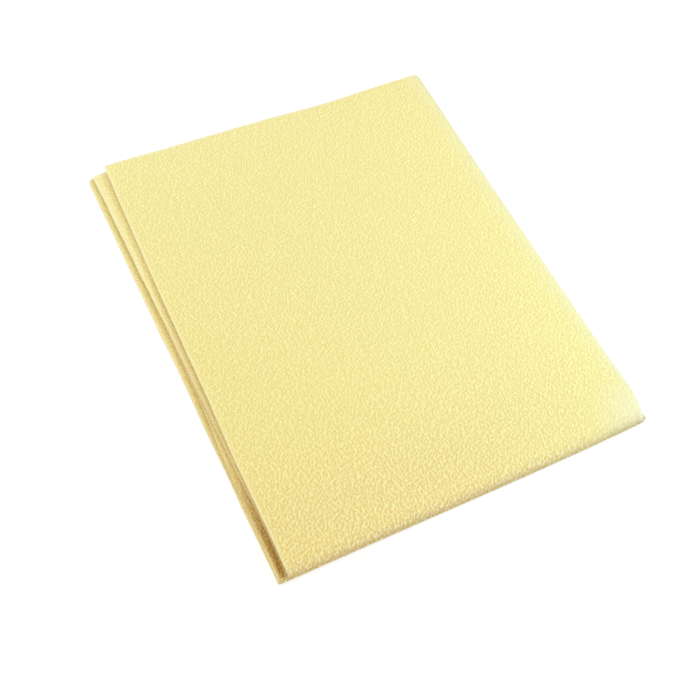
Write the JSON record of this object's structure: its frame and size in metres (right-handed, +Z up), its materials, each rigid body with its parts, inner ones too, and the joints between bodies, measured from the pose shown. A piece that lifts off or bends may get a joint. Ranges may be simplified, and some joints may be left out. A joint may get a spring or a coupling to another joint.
{
  "type": "synthetic chamois cloth",
  "caption": "Thick pale yellow nonwoven drying cloth, folded in half along the front and again along its side, lying flat. It opens along the side fold like a book.",
  "frame": {"origin": "middle of the underside of the folded cloth's bounding box", "axes": "+Z up, +X along the short side towards the side fold, +Y along the long side, from the front folds towards the back cut edges"},
  "size_m": [0.208, 0.248, 0.0068],
  "materials": {
    "chamois": "matt, suede-like nonwoven with a fine wormy grain"
  },
  "bodies": {
    "lower": {"bottom_panel": "chamois", "lower_inner_panel": "chamois", "lower_front_fold": "chamois", "outer_side_fold_lower": "chamois", "inner_side_fold_lower": "chamois", "corner_fold_lower": "chamois"},
    "upper": {"upper_inner_panel": "chamois", "top_panel": "chamois", "upper_front_fold": "chamois", "outer_side_fold_upper": "chamois", "inner_side_fold_upper": "chamois", "corner_fold_upper": "chamois"}
  },
  "joints": [
    {"name": "side_fold_opening", "type": "hinge", "parent": "lower", "child": "upper", "pos_m": [0.104, 0, 0.0034], "axis": [0, 1, 0], "range_deg": [0, 180]}
  ]
}
